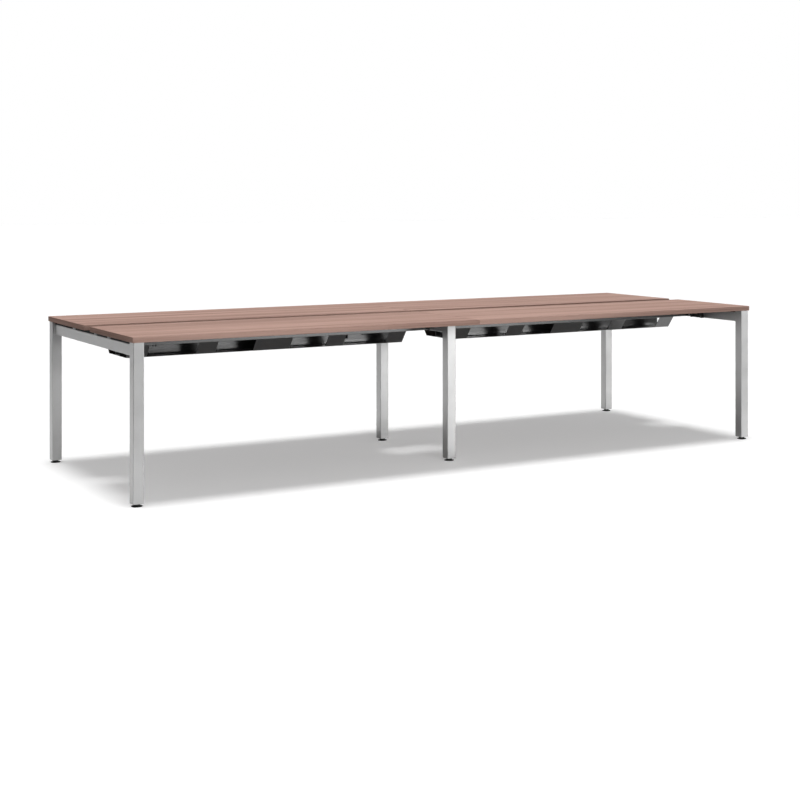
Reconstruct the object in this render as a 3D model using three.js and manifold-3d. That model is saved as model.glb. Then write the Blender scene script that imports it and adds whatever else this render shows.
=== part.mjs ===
// Double-sided bench desk: two bays of facing worktops on a steel frame with two hung cable trays.
// Millimetres, +Z up. +X runs along the bench, -Y is the front row. The origin is on the floor at the centre.

import * as THREE from 'three';
import { mergeVertices } from 'three/addons/utils/BufferGeometryUtils.js';
import Module from 'manifold-3d';

const wasm = await Module();
wasm.setup();

// Worktops: board with a glued plastic edge band
const DESK_HEIGHT = 745;
const TOP_LENGTH = 1799;
const TOP_DEPTH = 600;
const TOP_THICKNESS = 25;
const TOP_SEAM = 2;
const ROW_SLOT = 80;
const EDGE_BAND = 2;
const EDGE_CORNER_RADIUS = 2;

// Legs: square tube with a welded top plate
const LEG_SIZE = 50;
const LEG_WALL = 2;
const LEG_CORNER_RADIUS = 3;
const LEG_TOP_PLATE = 3;
const LEG_SCREW_HOLE = 8;
const LEG_EDGE_INSET = 5;
const MIDDLE_LEG_SETBACK = 262;

// Beams and rails: rectangular tube set on edge
const BEAM_HEIGHT = 50;
const BEAM_WIDTH = 25;
const BEAM_WALL = 2;
const BEAM_CORNER_RADIUS = 2;
const BEAM_DROP = 13;
const RAIL_OUTER_FACE = 169.5;

// Levelling feet: plastic pad moulded on a steel stud, in a plastic plug pressed into the leg
const TUBE_END_HEIGHT = 13;
const FOOT_DIAMETER = 50;
const FOOT_RIM = 3;
const FOOT_SHOULDER = 6;
const FOOT_NECK_DIAMETER = 30;
const FOOT_NECK_TOP = 11;
const STUD_DIAMETER = 10;
const STUD_TOP = 58;
const PLUG_LENGTH = 30;
const PLUG_CLEARANCE = 0.3;
const STUD_CLEARANCE = 0.3;

// Cable trays: folded sheet with leaning side walls, windows and upright lips clamped to the rails
const SHEET = 2;
const TRAY_LENGTH = 1500;
const TRAY_BASE_WIDTH = 250;
const TRAY_WALL_RISE = 61;
const TRAY_LIP = 40;
const CLAMP_STRIP = 2;
const CENTRE_TAB = 200;
const SIDE_TAB = 100;
const END_TAB = 100;
const INNER_WINDOW = 200;
const WINDOW_SILL = 0.5;
const WINDOW_HEAD = 1.5;

// Tray dividers: U-shaped channel along the middle of each tray
const DIVIDER_CLEAR_WIDTH = 50;
const DIVIDER_HEIGHT = 66;
const TIE_HOLE = 8;
const TIE_HOLE_PITCH = 15;
const TIE_HOLE_FROM_END = 175;
const TIE_HOLE_HEIGHT = 38.5;
const OUTLET_FROM_CENTRE = 453;
const OUTLET_WIDTH = 60;
const OUTLET_SILL = 22;

// Top brackets: pressed angle with two cheeks, inside the end beams
const BRACKET_FROM_CENTRE = 265;
const BRACKET_WIDTH = 90;
const BRACKET_REACH = 40;
const BRACKET_PLATE = 4;
const BRACKET_BELOW_BEAM = 1;

// Spacers between the frame and the worktops
const SPACER_LENGTH = 40;
const END_SPACER_FROM_CENTRE = 262;
const INNER_SPACER_FROM_SLOT = 11;
const OUTER_SPACER_FROM_LEG = 46;

const ARC_STEPS = 4;
const ROUND_STEPS = 24;
const CUT_OVERSHOOT = 5;

// Sizes worked out from the ones above
const underside = DESK_HEIGHT - TOP_THICKNESS;
const beamTop = underside - BEAM_DROP;
const beamBottom = beamTop - BEAM_HEIGHT;
const halfLength = TOP_LENGTH + TOP_SEAM / 2;
const halfDepth = TOP_DEPTH + ROW_SLOT / 2;
const endLegX = halfLength - LEG_EDGE_INSET - LEG_SIZE / 2;
const endLegY = halfDepth - LEG_EDGE_INSET - LEG_SIZE / 2;
const middleLegY = halfDepth - MIDDLE_LEG_SETBACK - LEG_SIZE / 2;
const bayCentreX = halfLength / 2;
const innerBeamX = endLegX - BEAM_WIDTH / 2;
const railY = RAIL_OUTER_FACE - BEAM_WIDTH / 2;
const trayBaseBottom = beamBottom - TRAY_WALL_RISE;

const sides = [
  { name: 'left', x: -1 },
  { name: 'right', x: 1 },
];
const rows = [
  { name: 'front', y: -1 },
  { name: 'rear', y: 1 },
];

// Finishes
const woodBoard = { color: 0xb49489, roughness: 0.55, metalness: 0 };
const woodEdge = { color: 0x987f73, roughness: 0.5, metalness: 0 };
const silverPaint = { color: 0xbfc1c3, roughness: 0.38, metalness: 0.6 };
const blackPaint = { color: 0x1c1d1f, roughness: 0.3, metalness: 0.2 };
const blackPlastic = { color: 0x141414, roughness: 0.6, metalness: 0 };
const palePlastic = { color: 0xb9bcbc, roughness: 0.6, metalness: 0 };

const bench = new THREE.Group();

function addPiece(name, geometry, finish, parent = bench) {
  const mesh = new THREE.Mesh(geometry, new THREE.MeshStandardMaterial(finish));
  mesh.name = name;
  parent.add(mesh);
  return mesh;
}

// Joining and cutting of closed meshes
function solidOf(geometry) {
  const bare = geometry.clone();
  bare.deleteAttribute('normal');
  bare.deleteAttribute('uv');
  const merged = mergeVertices(bare, 1e-4);
  return new wasm.Manifold(new wasm.Mesh({
    numProp: 3,
    vertProperties: new Float32Array(merged.attributes.position.array),
    triVerts: new Uint32Array(merged.index.array),
  }));
}

function geometryOf(solid) {
  const mesh = solid.getMesh();
  const geometry = new THREE.BufferGeometry();
  geometry.setAttribute('position', new THREE.BufferAttribute(mesh.vertProperties, 3));
  geometry.setIndex(new THREE.BufferAttribute(mesh.triVerts, 1));
  geometry.computeVertexNormals();
  return geometry;
}

function cut(geometry, tools) {
  return geometryOf(tools.reduce((solid, tool) => solid.subtract(solidOf(tool)), solidOf(geometry)));
}

function join(geometries) {
  return geometryOf(geometries.slice(1).reduce((solid, g) => solid.add(solidOf(g)), solidOf(geometries[0])));
}

// Outlines
function roundedRectangle(width, depth, radius) {
  const shape = new THREE.Shape();
  const x = width / 2 - radius;
  const y = depth / 2 - radius;
  shape.absarc(x, y, radius, 0, Math.PI / 2);
  shape.absarc(-x, y, radius, Math.PI / 2, Math.PI);
  shape.absarc(-x, -y, radius, Math.PI, 1.5 * Math.PI);
  shape.absarc(x, -y, radius, 1.5 * Math.PI, 2 * Math.PI);
  return shape;
}

function rectangle(width, depth) {
  const x = width / 2;
  const y = depth / 2;
  return new THREE.Shape([
    new THREE.Vector2(-x, -y), new THREE.Vector2(x, -y), new THREE.Vector2(x, y), new THREE.Vector2(-x, y),
  ]);
}

// A sheet of even thickness along a folded line, thickened to the left of its direction
function foldedSheet(line, thickness) {
  const points = line.map(([x, y]) => new THREE.Vector2(x, y));
  const normals = points.slice(1).map((p, i) => {
    const along = p.clone().sub(points[i]).normalize();
    return new THREE.Vector2(-along.y, along.x);
  });
  const inner = points.map((p, i) => {
    const before = normals[Math.max(i - 1, 0)];
    const after = normals[Math.min(i, normals.length - 1)];
    const mitre = before.clone().add(after).divideScalar(1 + before.dot(after));
    return p.clone().addScaledVector(mitre, thickness);
  });
  return new THREE.Shape([...points, ...inner.reverse()]);
}

function extrude(shape, length) {
  return new THREE.ExtrudeGeometry(shape, { depth: length, bevelEnabled: false, curveSegments: ARC_STEPS });
}

// Turns an outline drawn in X and Y and extruded along Z into one drawn in Y and Z and extruded along X
const alongX = new THREE.Matrix4().makeBasis(
  new THREE.Vector3(0, 1, 0), new THREE.Vector3(0, 0, 1), new THREE.Vector3(1, 0, 0),
);
// The same for an outline drawn in X and Z, extruded along -Y
const alongY = new THREE.Matrix4().makeBasis(
  new THREE.Vector3(1, 0, 0), new THREE.Vector3(0, 0, 1), new THREE.Vector3(0, -1, 0),
);

function boxBetween(x0, x1, y0, y1, z0, z1) {
  const box = new THREE.BoxGeometry(x1 - x0, y1 - y0, z1 - z0);
  return box.translate((x0 + x1) / 2, (y0 + y1) / 2, (z0 + z1) / 2);
}

// Rectangular tube standing on edge, centred on its run; width across, height up
function beamTube(length) {
  const body = extrude(roundedRectangle(BEAM_WIDTH, BEAM_HEIGHT, BEAM_CORNER_RADIUS), length);
  const bore = extrude(rectangle(BEAM_WIDTH - 2 * BEAM_WALL, BEAM_HEIGHT - 2 * BEAM_WALL),
    length + 2 * CUT_OVERSHOOT);
  return cut(body, [bore.translate(0, 0, -CUT_OVERSHOOT)]).translate(0, 0, -length / 2);
}

// Worktops and their edge bands
function worktopBoard() {
  return extrude(rectangle(TOP_LENGTH - 2 * EDGE_BAND, TOP_DEPTH - 2 * EDGE_BAND), TOP_THICKNESS);
}

function worktopEdgeBand() {
  const body = extrude(roundedRectangle(TOP_LENGTH, TOP_DEPTH, EDGE_CORNER_RADIUS), TOP_THICKNESS);
  const board = extrude(rectangle(TOP_LENGTH - 2 * EDGE_BAND, TOP_DEPTH - 2 * EDGE_BAND),
    TOP_THICKNESS + 2 * CUT_OVERSHOOT);
  return cut(body, [board.translate(0, 0, -CUT_OVERSHOOT)]);
}

for (const row of rows) {
  for (const side of sides) {
    const place = new THREE.Group();
    place.position.set(
      side.x * (TOP_SEAM + TOP_LENGTH) / 2,
      row.y * (ROW_SLOT + TOP_DEPTH) / 2,
      underside,
    );
    bench.add(place);
    addPiece(`worktop_${row.name}_${side.name}`, worktopBoard(), woodBoard, place);
    addPiece(`edge_band_${row.name}_${side.name}`, worktopEdgeBand(), woodEdge, place);
  }
}

// Legs, their bottom plugs and levelling feet
function legTube() {
  const length = underside - TUBE_END_HEIGHT;
  const body = extrude(roundedRectangle(LEG_SIZE, LEG_SIZE, LEG_CORNER_RADIUS), length);
  const bore = extrude(rectangle(LEG_SIZE - 2 * LEG_WALL, LEG_SIZE - 2 * LEG_WALL),
    length - LEG_TOP_PLATE + CUT_OVERSHOOT);
  const hole = new THREE.CylinderGeometry(LEG_SCREW_HOLE / 2, LEG_SCREW_HOLE / 2,
    LEG_TOP_PLATE + 2 * CUT_OVERSHOOT, ROUND_STEPS / 2);
  hole.rotateX(Math.PI / 2).translate(0, 0, length - LEG_TOP_PLATE / 2);
  return cut(body, [bore.translate(0, 0, -CUT_OVERSHOOT), hole]).translate(0, 0, TUBE_END_HEIGHT);
}

function legPlug() {
  const size = LEG_SIZE - 2 * LEG_WALL - 2 * PLUG_CLEARANCE;
  const boreRadius = STUD_DIAMETER / 2 + STUD_CLEARANCE;
  const boreLength = PLUG_LENGTH + 2 * CUT_OVERSHOOT;
  const bore = new THREE.CylinderGeometry(boreRadius, boreRadius, boreLength, ROUND_STEPS);
  bore.rotateX(Math.PI / 2).translate(0, 0, PLUG_LENGTH / 2);
  return cut(extrude(rectangle(size, size), PLUG_LENGTH), [bore]).translate(0, 0, TUBE_END_HEIGHT);
}

function levellingFoot() {
  const profile = [
    [0, 0], [FOOT_DIAMETER / 2, 0], [FOOT_DIAMETER / 2, FOOT_RIM], [FOOT_NECK_DIAMETER / 2, FOOT_SHOULDER],
    [FOOT_NECK_DIAMETER / 2, FOOT_NECK_TOP], [STUD_DIAMETER / 2, FOOT_NECK_TOP],
    [STUD_DIAMETER / 2, STUD_TOP], [0, STUD_TOP],
  ].map(([r, z]) => new THREE.Vector2(r, z));
  return new THREE.LatheGeometry(profile, ROUND_STEPS).rotateX(Math.PI / 2);
}

const legPlaces = rows.flatMap((row) => [
  ...sides.map((side) => ({ name: `${row.name}_${side.name}`, x: side.x * endLegX, y: row.y * endLegY })),
  { name: `${row.name}_middle`, x: 0, y: row.y * middleLegY },
]);
for (const place of legPlaces) {
  const stand = new THREE.Group();
  stand.position.set(place.x, place.y, 0);
  bench.add(stand);
  addPiece(`leg_${place.name}`, legTube(), silverPaint, stand);
  addPiece(`leg_plug_${place.name}`, legPlug(), blackPlastic, stand);
  addPiece(`levelling_foot_${place.name}`, levellingFoot(), blackPlastic, stand);
}

// Cross beams between the legs of each frame
const beamZ = beamBottom + BEAM_HEIGHT / 2;
function crossBeam(legY) {
  return beamTube(2 * legY - LEG_SIZE).rotateX(Math.PI / 2);
}
for (const side of sides) {
  addPiece(`end_beam_${side.name}`, crossBeam(endLegY), silverPaint).position.set(side.x * endLegX, 0, beamZ);
}
addPiece('middle_beam', crossBeam(middleLegY), silverPaint).position.set(0, 0, beamZ);

// Long rails from the middle beam to the end beams
const railLength = innerBeamX - BEAM_WIDTH / 2;
const railX = (innerBeamX + BEAM_WIDTH / 2) / 2;
for (const row of rows) {
  for (const side of sides) {
    const rail = beamTube(railLength).applyMatrix4(alongX);
    addPiece(`rail_${row.name}_${side.name}`, rail, blackPaint)
      .position.set(side.x * railX, row.y * railY, beamZ);
  }
}

// Cable trays, one in each bay
function cableTray() {
  const lipY = RAIL_OUTER_FACE + SHEET;
  const baseY = TRAY_BASE_WIDTH / 2;
  const section = foldedSheet([
    [-lipY, TRAY_WALL_RISE + TRAY_LIP], [-lipY, TRAY_WALL_RISE], [-baseY, 0],
    [baseY, 0], [lipY, TRAY_WALL_RISE], [lipY, TRAY_WALL_RISE + TRAY_LIP],
  ], SHEET);
  const body = extrude(section, TRAY_LENGTH).applyMatrix4(alongX).translate(-TRAY_LENGTH / 2, 0, 0);
  const innerStart = CENTRE_TAB / 2;
  const outerStart = innerStart + INNER_WINDOW + SIDE_TAB;
  const outerEnd = TRAY_LENGTH / 2 - END_TAB;
  const spans = [[innerStart, innerStart + INNER_WINDOW], [outerStart, outerEnd]];
  const windows = sides.flatMap((side) => spans.map(([a, b]) => boxBetween(
    Math.min(side.x * a, side.x * b), Math.max(side.x * a, side.x * b),
    -lipY - CUT_OVERSHOOT, lipY + CUT_OVERSHOOT, SHEET + WINDOW_SILL, TRAY_WALL_RISE - WINDOW_HEAD,
  )));
  return cut(body, windows);
}

// Divider channel that stands on the tray's base
function trayDivider() {
  const halfWidth = DIVIDER_CLEAR_WIDTH / 2 + SHEET;
  const section = foldedSheet([
    [-halfWidth, DIVIDER_HEIGHT], [-halfWidth, 0], [halfWidth, 0], [halfWidth, DIVIDER_HEIGHT],
  ], SHEET);
  const body = extrude(section, TRAY_LENGTH).applyMatrix4(alongX).translate(-TRAY_LENGTH / 2, 0, 0);
  const holeLength = 2 * (halfWidth + CUT_OVERSHOOT);
  const holes = sides.flatMap((side) => [-1, 1].map((step) => {
    const hole = new THREE.CylinderGeometry(TIE_HOLE / 2, TIE_HOLE / 2, holeLength, ROUND_STEPS / 2);
    const x = side.x * (TRAY_LENGTH / 2 - TIE_HOLE_FROM_END + step * TIE_HOLE_PITCH / 2);
    return hole.translate(x, 0, TIE_HOLE_HEIGHT);
  }));
  // One cable outlet in each wall, open at the top, towards the right as seen from that wall's row
  const outlets = sides.map((side) => {
    const x = side.x * OUTLET_FROM_CENTRE;
    const y = -side.x * (halfWidth + CUT_OVERSHOOT);
    return boxBetween(
      x - OUTLET_WIDTH / 2, x + OUTLET_WIDTH / 2, Math.min(0, y), Math.max(0, y),
      OUTLET_SILL, DIVIDER_HEIGHT + CUT_OVERSHOOT,
    );
  });
  return cut(body, [...holes, ...outlets]);
}

// Flat strip that clamps a tray's lip to its rail
function clampStrip() {
  return boxBetween(-TRAY_LENGTH / 2, TRAY_LENGTH / 2, -CLAMP_STRIP / 2, CLAMP_STRIP / 2, 0, TRAY_LIP);
}

for (const side of sides) {
  const place = new THREE.Group();
  place.position.set(side.x * bayCentreX, 0, trayBaseBottom);
  bench.add(place);
  addPiece(`cable_tray_${side.name}`, cableTray(), blackPaint, place);
  addPiece(`tray_divider_${side.name}`, trayDivider(), blackPaint, place).position.z = SHEET;
  for (const row of rows) {
    addPiece(`clamp_strip_${row.name}_${side.name}`, clampStrip(), blackPaint, place)
      .position.set(0, row.y * (RAIL_OUTER_FACE + SHEET + CLAMP_STRIP / 2), TRAY_WALL_RISE);
  }
}

// Top brackets on the inner faces of the end beams; drawn reaching towards +X
function topBracket() {
  const height = underside - beamBottom + BRACKET_BELOW_BEAM;
  const angle = foldedSheet([[0, height], [0, 0]], BRACKET_PLATE);
  const plate = extrude(angle, BRACKET_WIDTH);
  const shelf = boxBetween(0, BRACKET_REACH, height - BRACKET_PLATE, height, 0, BRACKET_WIDTH);
  const cheek = new THREE.Shape([
    new THREE.Vector2(0, 0), new THREE.Vector2(BRACKET_REACH / 2, 0),
    new THREE.Vector2(BRACKET_REACH, height - BRACKET_PLATE), new THREE.Vector2(BRACKET_REACH, height),
    new THREE.Vector2(0, height),
  ]);
  const cheeks = [0, BRACKET_WIDTH - BRACKET_PLATE].map(
    (z) => extrude(cheek, BRACKET_PLATE).translate(0, 0, z),
  );
  return join([plate, shelf, ...cheeks]).applyMatrix4(alongY).translate(0, BRACKET_WIDTH / 2, 0);
}

for (const row of rows) {
  for (const side of sides) {
    const bracket = topBracket();
    if (side.x > 0) {
      bracket.rotateZ(Math.PI);
    }
    addPiece(`top_bracket_${row.name}_${side.name}`, bracket, blackPaint).position.set(
      side.x * innerBeamX, row.y * BRACKET_FROM_CENTRE, beamBottom - BRACKET_BELOW_BEAM,
    );
  }
}

// Spacers that carry the worktops on the beams and rails
function spacer(acrossX, acrossY) {
  return extrude(roundedRectangle(acrossX, acrossY, BEAM_CORNER_RADIUS), BEAM_DROP).translate(0, 0, beamTop);
}
const innerSpacerY = ROW_SLOT / 2 + INNER_SPACER_FROM_SLOT + SPACER_LENGTH / 2;
const outerSpacerY = middleLegY - LEG_SIZE / 2 - OUTER_SPACER_FROM_LEG - SPACER_LENGTH / 2;
for (const row of rows) {
  for (const side of sides) {
    addPiece(`end_spacer_${row.name}_${side.name}`, spacer(BEAM_WIDTH, SPACER_LENGTH), palePlastic)
      .position.set(side.x * endLegX, row.y * END_SPACER_FROM_CENTRE, 0);
    addPiece(`rail_spacer_${row.name}_${side.name}`, spacer(SPACER_LENGTH, BEAM_WIDTH), palePlastic)
      .position.set(side.x * bayCentreX, row.y * railY, 0);
  }
  addPiece(`middle_spacer_${row.name}_outer`, spacer(BEAM_WIDTH, SPACER_LENGTH), palePlastic)
    .position.set(0, row.y * outerSpacerY, 0);
  addPiece(`middle_spacer_${row.name}_inner`, spacer(BEAM_WIDTH, SPACER_LENGTH), palePlastic)
    .position.set(0, row.y * innerSpacerY, 0);
}
// One inner spacer at each end, on opposite rows
for (const [side, row] of [[sides[0], rows[0]], [sides[1], rows[1]]]) {
  addPiece(`end_spacer_inner_${side.name}`, spacer(BEAM_WIDTH, SPACER_LENGTH), palePlastic)
    .position.set(side.x * endLegX, row.y * innerSpacerY, 0);
}

export default bench;
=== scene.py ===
import math

import bmesh
import bpy
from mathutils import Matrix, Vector


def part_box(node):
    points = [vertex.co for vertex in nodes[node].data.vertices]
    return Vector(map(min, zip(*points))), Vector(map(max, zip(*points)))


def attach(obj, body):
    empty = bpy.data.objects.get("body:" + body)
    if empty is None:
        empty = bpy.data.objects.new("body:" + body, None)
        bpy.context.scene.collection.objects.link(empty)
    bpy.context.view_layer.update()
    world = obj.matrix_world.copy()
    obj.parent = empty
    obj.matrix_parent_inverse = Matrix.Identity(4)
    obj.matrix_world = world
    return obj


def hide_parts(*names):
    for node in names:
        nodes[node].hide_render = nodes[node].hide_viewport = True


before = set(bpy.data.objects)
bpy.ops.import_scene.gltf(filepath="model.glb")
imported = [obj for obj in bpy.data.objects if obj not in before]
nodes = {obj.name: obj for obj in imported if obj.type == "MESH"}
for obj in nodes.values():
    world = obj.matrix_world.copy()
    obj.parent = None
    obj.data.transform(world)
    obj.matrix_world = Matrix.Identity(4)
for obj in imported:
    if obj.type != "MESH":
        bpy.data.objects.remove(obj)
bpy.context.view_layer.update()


# Levelling feet: black polypropylene pads moulded round the heads of zinc-plated studs.
# Each stud screws up into its leg, and six flats on the pad's neck take a spanner.
PLACES = [f"{row}_{spot}" for row in ("front", "rear") for spot in ("left", "middle", "right")]
X = Vector((1, 0, 0))
Y = Vector((0, 1, 0))
Z = Vector((0, 0, 1))
PAD_SIDES = 48
PAD_RIM = 0.003
PAD_ROUND = 0.0011
PAD_HOLLOW = 0.0004
PAD_HOLLOW_FROM, PAD_HOLLOW_TO = 0.72, 0.76
PAD_SHOULDER = 0.006
SHOULDER_REACH, SHOULDER_DROP = 0.002, 0.0004
HEXAGON_SIDES = 6
NECK_ACROSS_CORNERS = 0.030
NECK_TOP = 0.011
NECK_EASE_IN, NECK_EASE_DOWN = 0.0012, 0.0008
NECK_SUNK = 0.001
ROUND_SIDES = 24
STUD_RADIUS = 0.005
STUD_TIP = 0.001
STUD_SUNK = 0.0005
THREAD_PITCH = 0.0015
THREAD_DEPTH = 0.0005
PLASTIC_BLACK = (0.016, 0.016, 0.017)
PLASTIC_BLACK_DEEP = (0.008, 0.008, 0.008)
ZINC = (0.58, 0.59, 0.60)
ZINC_DEEP = (0.50, 0.51, 0.53)
ZINC_BRIGHT = (0.66, 0.67, 0.68)


def adder(tree):
    """Returns a function that adds a node to a tree, sets its values and links its inputs."""
    def add(kind, values=(), **links):
        node = tree.nodes.new(kind)
        for key, value in dict(values).items():
            if key in node.inputs.keys():
                node.inputs[key].default_value = value
            else:
                setattr(node, key, value)
        for key, source in links.items():
            tree.links.new(source, node.inputs[key.replace("_", " ")])
        return node

    return add


def finish(name, colour, roughness, metallic=0.0, ior=1.5):
    """A material at even values, a function that adds nodes to it, and its shader."""
    material = bpy.data.materials.new(name)
    material.use_nodes = True
    shader = material.node_tree.nodes["Principled BSDF"]
    even = {"Base Color": (*colour, 1.0), "Roughness": roughness, "Metallic": metallic, "IOR": ior}
    for socket, value in even.items():
        shader.inputs[socket].default_value = value
    return material, adder(material.node_tree), shader


def drive(shader, **sources):
    """Links patterns to the shader's sockets."""
    for socket, source in sources.items():
        shader.id_data.links.new(source, shader.inputs[socket.replace("_", " ")])


def noise(add, place, scale, detail, roughness=0.5):
    """A cloudy pattern, with its scale in patches per metre."""
    values = {"Scale": scale, "Detail": detail, "Roughness": roughness}
    return add("ShaderNodeTexNoise", values, Vector=place).outputs["Fac"]


def cells(add, place, scale):
    """A pattern of cells that is low in each cell's middle, with its scale in cells per metre."""
    return add("ShaderNodeTexVoronoi", {"Scale": scale}, Vector=place).outputs["Distance"]


def tones(add, factor, stops):
    """Colours by a factor, through a ramp of (position, colour) stops."""
    ramp = add("ShaderNodeValToRGB", Fac=factor)
    while len(ramp.color_ramp.elements) < len(stops):
        ramp.color_ramp.elements.new(0.5)
    for element, (position, colour) in zip(ramp.color_ramp.elements, stops):
        element.position = position
        element.color = (*colour, 1.0)
    return ramp.outputs["Color"]


def spread(add, factor, low, high):
    """A value between two ends, by a factor."""
    return add("ShaderNodeMapRange", {"To Min": low, "To Max": high}, Value=factor).outputs["Result"]


def bumps(add, height, distance, strength):
    """Normals of a surface raised by a pattern; distance is its real height in metres."""
    values = {"Distance": distance, "Strength": strength}
    return add("ShaderNodeBump", values, Height=height).outputs["Normal"]


def moulded_plastic(name, dark, light):
    """Spark-eroded mould texture with faint cloudy shade and scuffed gloss."""
    material, add, shader = finish(name, light, roughness=0.55)
    place = add("ShaderNodeTexCoord").outputs["Object"]
    grain = noise(add, place, scale=1400.0, detail=3.0)
    cloud = noise(add, place, scale=45.0, detail=4.0)
    drive(shader, Base_Color=tones(add, cloud, [(0.3, dark), (0.7, light)]),
          Roughness=spread(add, cloud, low=0.46, high=0.64),
          Normal=bumps(add, grain, distance=0.00012, strength=0.6))
    return material


def zinc_plate(name):
    """Bright zinc with a soft spangle."""
    material, add, shader = finish(name, ZINC, roughness=0.32, metallic=1.0)
    place = add("ShaderNodeTexCoord").outputs["Object"]
    spangle = cells(add, place, scale=700.0)
    drive(shader, Base_Color=tones(add, spangle, [(0.0, ZINC_DEEP), (0.8, ZINC_BRIGHT)]),
          Roughness=spread(add, spangle, low=0.26, high=0.42))
    return material


def placer(origin, across, up, along):
    """Returns a function that turns distances along three axes into a point, from an origin."""
    def place(a, b, c):
        return Vector(origin) + a * across + b * up + c * along

    return place


def rounded(radius, bottom, top):
    """(inset, height) points up an edge that is rounded at its bottom and top."""
    turns = [i * math.pi / 6 for i in range(4)]
    lower = [(radius * (1 - math.sin(t)), bottom + radius * (1 - math.cos(t))) for t in turns]
    upper = [(radius * (1 - math.cos(t)), top - radius * (1 - math.sin(t))) for t in turns]
    return lower + upper


def turned(bm, profile, sides, place, material_index=0):
    """A closed turned body from (radius, height) points that start and end on the axis."""
    turns = [2 * math.pi * k / sides for k in range(sides)]
    rings = []
    for radius, height in profile:
        points = [(radius * math.cos(t), radius * math.sin(t)) for t in turns] if radius else [(0, 0)]
        rings.append([bm.verts.new(place(a, b, height)) for a, b in points])
    for lower, upper in zip(rings, rings[1:]):
        for k in range(sides):
            corners = [lower[k % len(lower)], lower[(k + 1) % len(lower)],
                       upper[(k + 1) % len(upper)], upper[k % len(upper)]]
            face = bm.faces.new(list(dict.fromkeys(corners)))
            face.material_index = material_index


def piece(name, bm, body, slot, *finishes, sharp=32.0):
    """Makes an object of a finished bmesh, shaded smooth up to an angle, riding on a body."""
    bmesh.ops.recalc_face_normals(bm, faces=bm.faces[:])
    mesh = bpy.data.meshes.new(name)
    bm.to_mesh(mesh)
    bm.free()
    for one in finishes:
        mesh.materials.append(one)
    mesh.polygons.foreach_set("use_smooth", [True] * len(mesh.polygons))
    mesh.set_sharp_from_angle(angle=math.radians(sharp))
    obj = bpy.data.objects.new(name, mesh)
    bpy.context.scene.collection.objects.link(obj)
    even = obj.modifiers.new("flats_shade_flat", "WEIGHTED_NORMAL")
    even.keep_sharp = True
    even.weight = 100
    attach(obj, body)
    return obj


black_plastic = moulded_plastic("black_moulded_plastic", PLASTIC_BLACK_DEEP, PLASTIC_BLACK)
zinc = zinc_plate("zinc_plated_steel")

for spot in PLACES:
    low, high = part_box(f"levelling_foot_{spot}")
    centre = (low + high) / 2
    length = high.z - low.z
    radius = (high.x - low.x) / 2
    neck = NECK_ACROSS_CORNERS / 2
    stand = placer((centre.x, centre.y, low.z), X, Y, Z)
    pad = [(0, PAD_HOLLOW), (radius * PAD_HOLLOW_FROM, PAD_HOLLOW), (radius * PAD_HOLLOW_TO, 0.0)]
    pad += [(radius - inset, level) for inset, level in rounded(PAD_ROUND, 0.0, PAD_RIM)]
    pad += [(neck + SHOULDER_REACH, PAD_SHOULDER - SHOULDER_DROP),
            (neck, PAD_SHOULDER), (0, PAD_SHOULDER)]
    flats = [(0, PAD_SHOULDER - NECK_SUNK), (neck, PAD_SHOULDER - NECK_SUNK),
             (neck, NECK_TOP - NECK_EASE_DOWN), (neck - NECK_EASE_IN, NECK_TOP), (0, NECK_TOP)]
    level = NECK_TOP - STUD_SUNK
    stud = [(0, level)]
    while level + THREAD_PITCH < length:
        stud += [(STUD_RADIUS - THREAD_DEPTH, level), (STUD_RADIUS, level + THREAD_PITCH / 2)]
        level += THREAD_PITCH
    stud += [(STUD_RADIUS - STUD_TIP, length), (0, length)]
    bm = bmesh.new()
    turned(bm, pad, PAD_SIDES, stand)
    turned(bm, flats, HEXAGON_SIDES, stand)
    turned(bm, stud, ROUND_SIDES, stand, material_index=1)
    foot = piece(f"pad_and_stud_{spot}", bm, f"foot_{spot}", "black_plastic", black_plastic, zinc)
    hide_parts(f"levelling_foot_{spot}")


# Leg plugs: square blocks of black plastic, pressed into the open ends of the legs.
# Each holds the thread that its foot's stud turns in.
EASED_FROM = 40.0
EASED_STEPS = 2


def dress(node, material, ease=None):
    """Gives a CAD node its finish and, where asked, eased edges."""
    shape = nodes[node]
    shape.data.materials.clear()
    shape.data.materials.append(material)
    if ease:
        edge = shape.modifiers.new("eased_edges", "BEVEL")
        edge.width = ease
        edge.segments = EASED_STEPS
        edge.limit_method = "ANGLE"
        edge.angle_limit = math.radians(EASED_FROM)


for spot in PLACES:
    dress(f"leg_plug_{spot}", black_plastic)


# Legs: 50 mm square steel tube, powder coated in silver, closed at the top by a welded plate.
# The tube's long corners are rolled to a small radius.
TUBE_WALL = 0.002
LEG_CORNER = 0.003
LEG_PLATE = 0.003
EASE = 0.0004
LEAST_CORNER = 0.0004
CORNER_STEPS = 6
SILVER = (0.47, 0.47, 0.47)
SILVER_DEEP = (0.42, 0.42, 0.42)


def powder_coat(name, dark, light, roughness, metallic, ior, flake):
    """Baked powder paint: fine orange peel, faint cloudy shade, and metal flake where it has any."""
    material, add, shader = finish(name, light, roughness, metallic, ior)
    place = add("ShaderNodeTexCoord").outputs["Object"]
    peel = noise(add, place, scale=420.0, detail=2.0, roughness=0.45)
    cloud = noise(add, place, scale=9.0, detail=5.0, roughness=0.6)
    speck = cells(add, place, scale=2600.0)
    mixed = add("ShaderNodeMix", {"Factor": flake}, A=cloud, B=speck).outputs["Result"]
    drive(shader, Base_Color=tones(add, mixed, [(0.25, dark), (0.75, light)]),
          Roughness=spread(add, cloud, low=roughness - 0.05, high=roughness + 0.06),
          Normal=bumps(add, peel, distance=0.00006, strength=0.5))
    return material


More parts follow.
